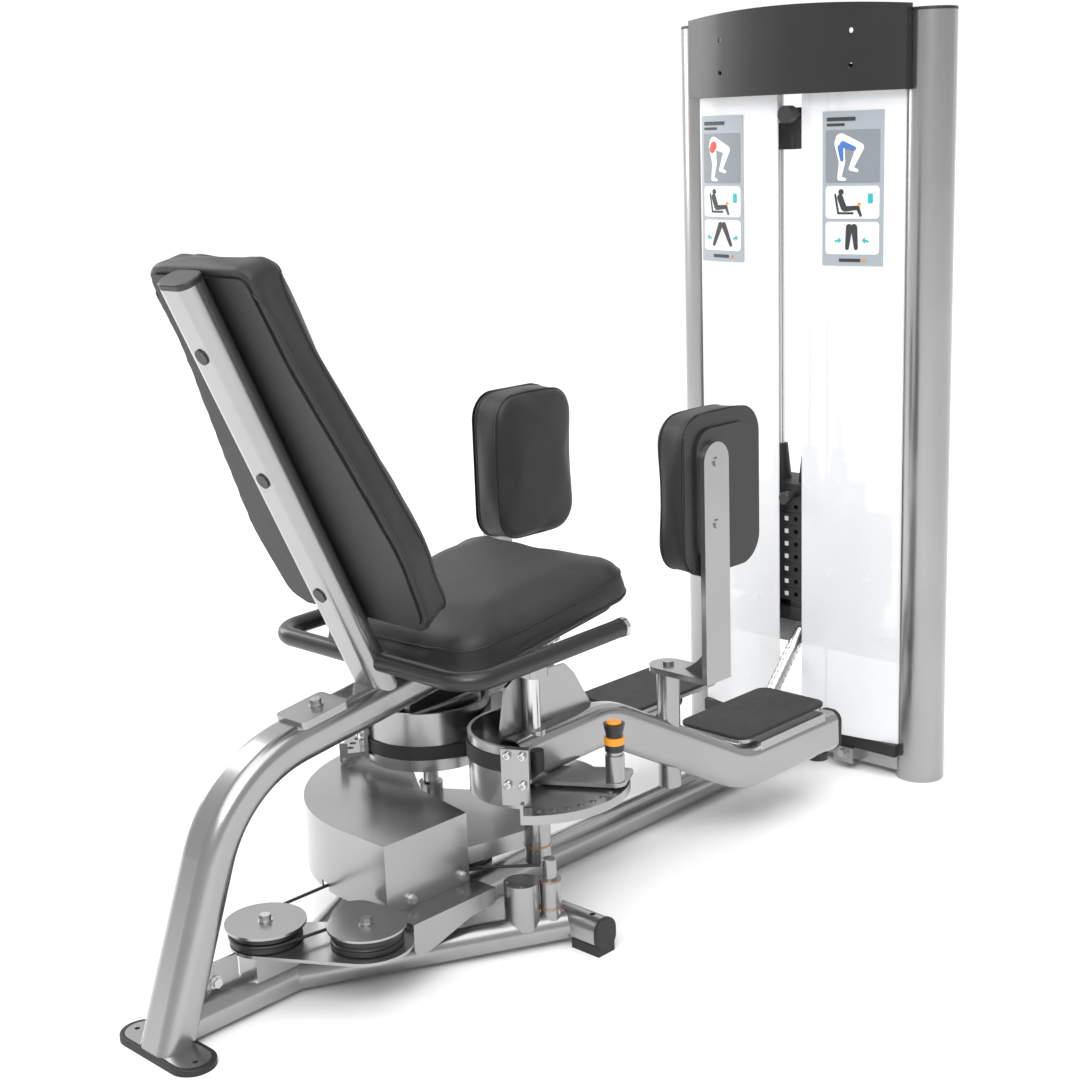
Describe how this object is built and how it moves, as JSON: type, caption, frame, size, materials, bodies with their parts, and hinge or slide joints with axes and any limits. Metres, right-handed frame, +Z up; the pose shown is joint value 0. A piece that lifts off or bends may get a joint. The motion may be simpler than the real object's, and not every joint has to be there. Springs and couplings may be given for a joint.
{
  "type": "hip abductor machine",
  "caption": "Seated hip abductor and adductor strength machine with swinging padded leg arms, foot plates and a shrouded weight stack.",
  "frame": {"origin": "centre of the bounding box's floor rectangle", "axes": "+X to the seated user's right, +Y from the backrest toward the weight tower, +Z up"},
  "size_m": [0.6132, 1.6928, 1.485],
  "materials": {
    "frame_paint": "satin metallic",
    "dark_paint": "satin",
    "stack_black": "satin",
    "upholstery": "matt vinyl",
    "black_rubber": "matt",
    "black_plastic": "matt",
    "bright_steel": "bright",
    "bronze": "satin",
    "frosted_sheet": "frosted",
    "placard": "printed"
  },
  "bodies": {
    "frame": {"rear_leg_beam": "frame_paint", "rear_foot_rubber": "black_rubber", "spine_tube": "frame_paint", "outrigger_tubes": "frame_paint", "outrigger_feet": "black_rubber", "backrest_post": "frame_paint", "backrest_caps": "black_plastic", "back_pad": "upholstery", "seat_pad": "upholstery", "pad_boards": "black_plastic", "handle_bar": "dark_paint", "handle_end_caps": "bright_steel", "pivot_bar": "frame_paint", "pivot_carrier": "frame_paint", "pivot_shafts": "bright_steel", "bronze_rings": "bronze", "anchor_posts": "frame_paint", "cam_cover": "frame_paint", "cover_tray": "frame_paint", "pulley_plate": "frame_paint", "frame_bolts": "bright_steel", "floor_cables": "black_plastic", "tower_cable": "black_plastic", "drum_belts": "black_rubber", "pillars": "frame_paint", "pillar_caps": "black_plastic", "header": "dark_paint", "tower_beams": "frame_paint", "tower_strut": "bright_steel", "tower_dark_bars": "dark_paint", "shrouds": "frosted_sheet", "placards": "placard", "guide_rods": "bright_steel", "stack_cushions": "black_rubber", "weight_plates": "stack_black"},
    "stack": {"stack_head": "stack_black"},
    "selector": {"selector_pin": "black_plastic"},
    "increment": {"increment_weight": "stack_black"},
    "rear_pulley_spin": {"rear_pulley": "black_plastic"},
    "middle_pulley_spin": {"middle_pulley": "black_plastic"},
    "post_pulley_spin": {"post_pulley": "black_plastic"},
    "front_pulley_spin": {"front_pulley": "black_plastic"},
    "crown_pulley_spin": {"crown_pulley": "black_plastic"},
    "base_pulley_spin": {"base_pulley": "black_plastic"},
    "right_drum_body": {"right_drum": "frame_paint", "right_drum_bumper": "black_rubber"},
    "right_arm_body": {"right_arm": "frame_paint", "right_foot_plate": "frame_paint", "right_arm_rubber": "black_rubber"},
    "right_pin_body": {"right_pop_pin": "black_plastic"},
    "right_pad_body": {"right_pad_bracket": "frame_paint", "right_thigh_pad": "upholstery"},
    "left_drum_body": {"left_drum": "frame_paint", "left_drum_bumper": "black_rubber"},
    "left_arm_body": {"left_arm": "frame_paint", "left_foot_plate": "frame_paint", "left_arm_rubber": "black_rubber"},
    "left_pin_body": {"left_pop_pin": "black_plastic"},
    "left_pad_body": {"left_pad_bracket": "frame_paint", "left_thigh_pad": "upholstery"}
  },
  "joints": [
    {"name": "stack_lift", "type": "slide", "parent": "frame", "child": "stack", "axis": [0, 0, 1], "range_m": [0, 0.195]},
    {"name": "selector_pull", "type": "slide", "parent": "stack", "child": "selector", "axis": [0, -1, 0], "range_m": [0, 0.055]},
    {"name": "increment_slide", "type": "slide", "parent": "frame", "child": "increment", "axis": [0, 0, 1], "range_m": [-0.33, 0]},
    {"name": "rear_pulley_turn", "type": "hinge", "parent": "frame", "child": "rear_pulley_spin", "pos_m": [0, -0.62315, 0], "axis": [0, 0, 1], "continuous": true},
    {"name": "middle_pulley_turn", "type": "hinge", "parent": "frame", "child": "middle_pulley_spin", "pos_m": [0.126, -0.53115, 0], "axis": [0, 0, 1], "continuous": true},
    {"name": "post_pulley_turn", "type": "hinge", "parent": "frame", "child": "post_pulley_spin", "pos_m": [0.06, -0.25115, 0], "axis": [0, 0, 1], "continuous": true},
    {"name": "front_pulley_turn", "type": "hinge", "parent": "frame", "child": "front_pulley_spin", "pos_m": [-0.01, -0.11115, 0], "axis": [0, 0, 1], "continuous": true},
    {"name": "crown_pulley_turn", "type": "hinge", "parent": "frame", "child": "crown_pulley_spin", "pos_m": [0, 0.81385, 1.4], "axis": [1, 0, 0], "continuous": true},
    {"name": "base_pulley_turn", "type": "hinge", "parent": "frame", "child": "base_pulley_spin", "pos_m": [0, 0.81385, 0.062], "axis": [1, 0, 0], "continuous": true},
    {"name": "right_drum_swing", "type": "hinge", "parent": "frame", "child": "right_drum_body", "pos_m": [0.128, -0.16215, 0], "axis": [0, 0, 1], "range_deg": [-52, 0]},
    {"name": "right_arm_set", "type": "hinge", "parent": "right_drum_body", "child": "right_arm_body", "pos_m": [0.128, -0.16215, 0], "axis": [0, 0, 1], "range_deg": [-58.5, 0]},
    {"name": "right_pad_turn", "type": "hinge", "parent": "right_arm_body", "child": "right_pad_body", "pos_m": [0.15, 0.15085, 0], "axis": [0, 0, 1], "range_deg": [0, 160]},
    {"name": "right_pin_pull", "type": "slide", "parent": "right_arm_body", "child": "right_pin_body", "axis": [0, 0, 1], "range_m": [-0.006, 0.01], "stiffness_N_per_m": 800},
    {"name": "left_drum_swing", "type": "hinge", "parent": "frame", "child": "left_drum_body", "pos_m": [-0.128, -0.16215, 0], "axis": [0, 0, 1], "range_deg": [0, 52]},
    {"name": "left_arm_set", "type": "hinge", "parent": "left_drum_body", "child": "left_arm_body", "pos_m": [-0.128, -0.16215, 0], "axis": [0, 0, 1], "range_deg": [0, 58.5]},
    {"name": "left_pad_turn", "type": "hinge", "parent": "left_arm_body", "child": "left_pad_body", "pos_m": [-0.15, 0.15085, 0], "axis": [0, 0, 1], "range_deg": [-160, 0]},
    {"name": "left_pin_pull", "type": "slide", "parent": "left_arm_body", "child": "left_pin_body", "axis": [0, 0, 1], "range_m": [-0.006, 0.01], "stiffness_N_per_m": 800}
  ],
  "couplings": [
    {"joint": "rear_pulley_turn", "follows": "stack_lift", "rad_per_m": -18.18},
    {"joint": "middle_pulley_turn", "follows": "stack_lift", "rad_per_m": 18.18},
    {"joint": "post_pulley_turn", "follows": "stack_lift", "rad_per_m": 28.57},
    {"joint": "front_pulley_turn", "follows": "stack_lift", "rad_per_m": -28.57},
    {"joint": "crown_pulley_turn", "follows": "stack_lift", "rad_per_m": -33.33},
    {"joint": "base_pulley_turn", "follows": "stack_lift", "rad_per_m": -33.33},
    {"joint": "right_drum_swing", "follows": "stack_lift", "rad_per_m": -4.651},
    {"joint": "left_drum_swing", "follows": "stack_lift", "rad_per_m": 4.651}
  ]
}
